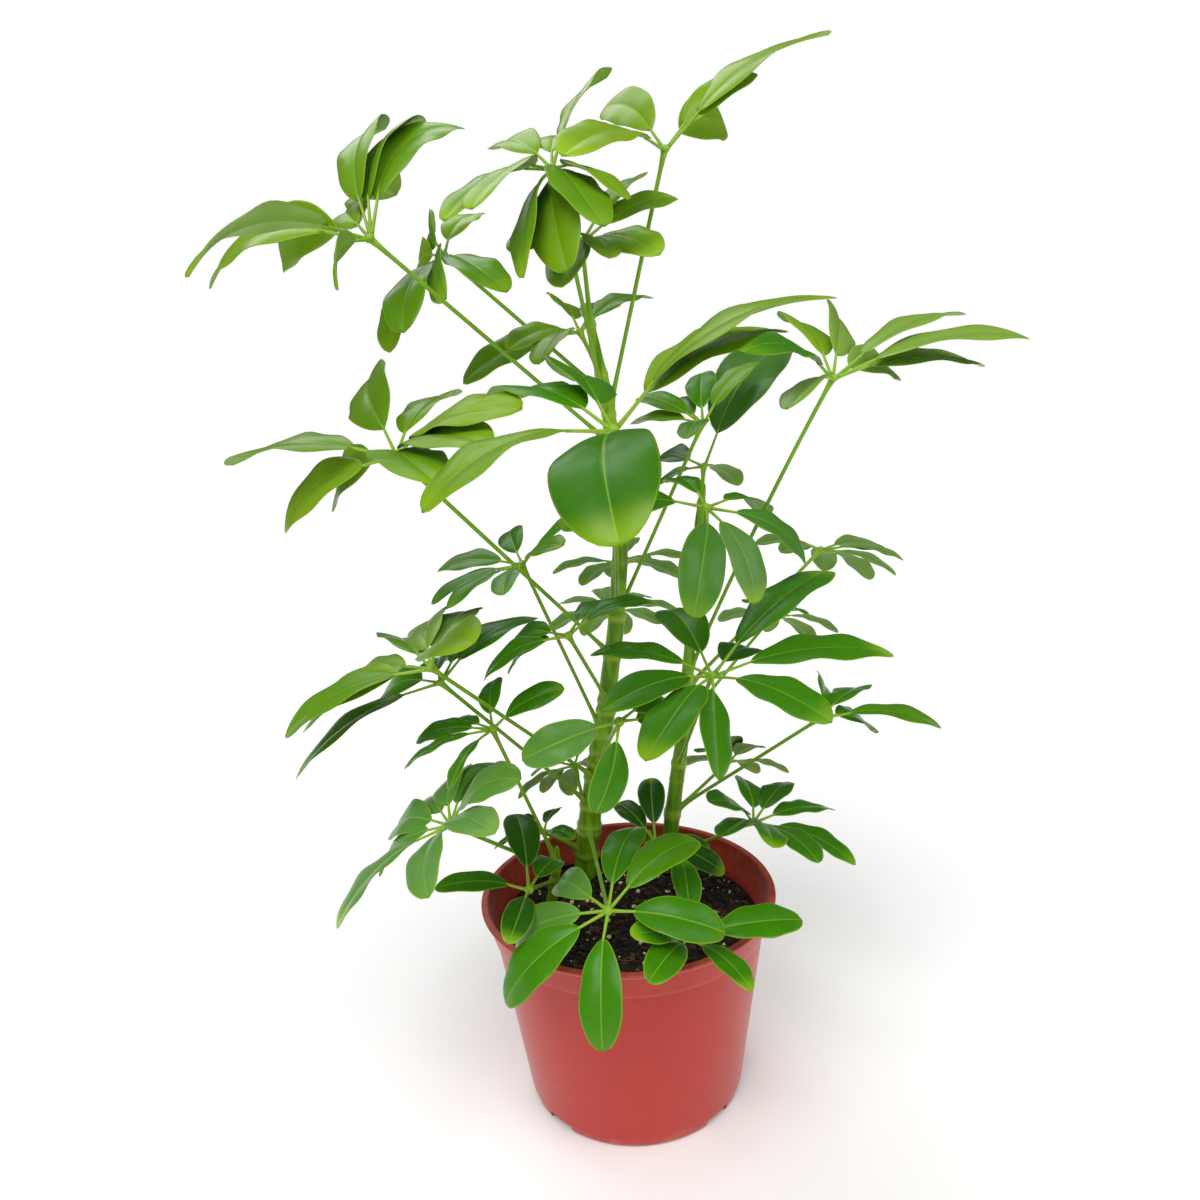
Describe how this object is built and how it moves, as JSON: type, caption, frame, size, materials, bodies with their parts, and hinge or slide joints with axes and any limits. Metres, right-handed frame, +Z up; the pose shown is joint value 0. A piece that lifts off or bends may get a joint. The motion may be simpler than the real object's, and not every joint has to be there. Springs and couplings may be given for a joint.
{
  "type": "potted plant",
  "caption": "Leafy green umbrella tree with palmate leaves on long stalks, growing in potting soil in a round terracotta-coloured plastic pot with notched foot.",
  "frame": {"origin": "middle of the pot's underside, where it stands", "axes": "+Z up; -Y towards the front, the side from which the pot's widest foot and the low front leaf are seen; +X to the right seen from the front"},
  "size_m": [0.3723, 0.3214, 0.5261],
  "materials": {
    "pot_plastic": "satin terracotta-red moulded plastic, a little scuffed",
    "potting_mix": "loose dark potting mix of bark, fibre and peat with pale perlite",
    "green_stem": "smooth green bark with pale leaf scars",
    "bright_leaf": "glossy bright green blade with a pale midrib and a light edge",
    "dark_leaf": "glossy dark green blade with a pale midrib"
  },
  "bodies": {
    "root": {"pot": "pot_plastic", "soil": "potting_mix", "stem_main": "green_stem", "stem_second": "green_stem", "stem_middle": "green_stem", "stem_left": "green_stem", "leaf_top_left": "bright_leaf", "leaf_upper_left": "bright_leaf", "leaf_crown": "bright_leaf", "leaf_top_right": "bright_leaf", "leaf_top_front": "bright_leaf", "leaf_under_crown": "bright_leaf", "leaf_front": "bright_leaf", "leaf_left": "bright_leaf", "leaf_right": "bright_leaf", "leaf_small_fan": "bright_leaf", "leaf_second_top": "bright_leaf", "leaf_second_front": "bright_leaf", "leaf_left_thin": "bright_leaf", "leaf_mid_left": "bright_leaf", "leaf_left_low": "bright_leaf", "leaf_left_behind": "bright_leaf", "leaf_left_small": "bright_leaf", "leaf_low_left": "bright_leaf", "leaf_rim_left": "bright_leaf", "leaf_rim_front": "bright_leaf", "leaf_rim_right": "bright_leaf", "leaf_front_low": "bright_leaf", "leaf_middle_right": "bright_leaf", "leaf_right_low": "bright_leaf", "leaf_rim_far_right": "bright_leaf", "leaf_soil_middle": "dark_leaf", "leaf_back_right": "dark_leaf", "leaf_back_far_right": "dark_leaf", "leaf_back": "dark_leaf", "leaf_back_low": "dark_leaf", "leaf_back_left": "dark_leaf", "leaf_soil_left": "dark_leaf", "leaf_soil_right": "dark_leaf"}
  },
  "joints": []
}
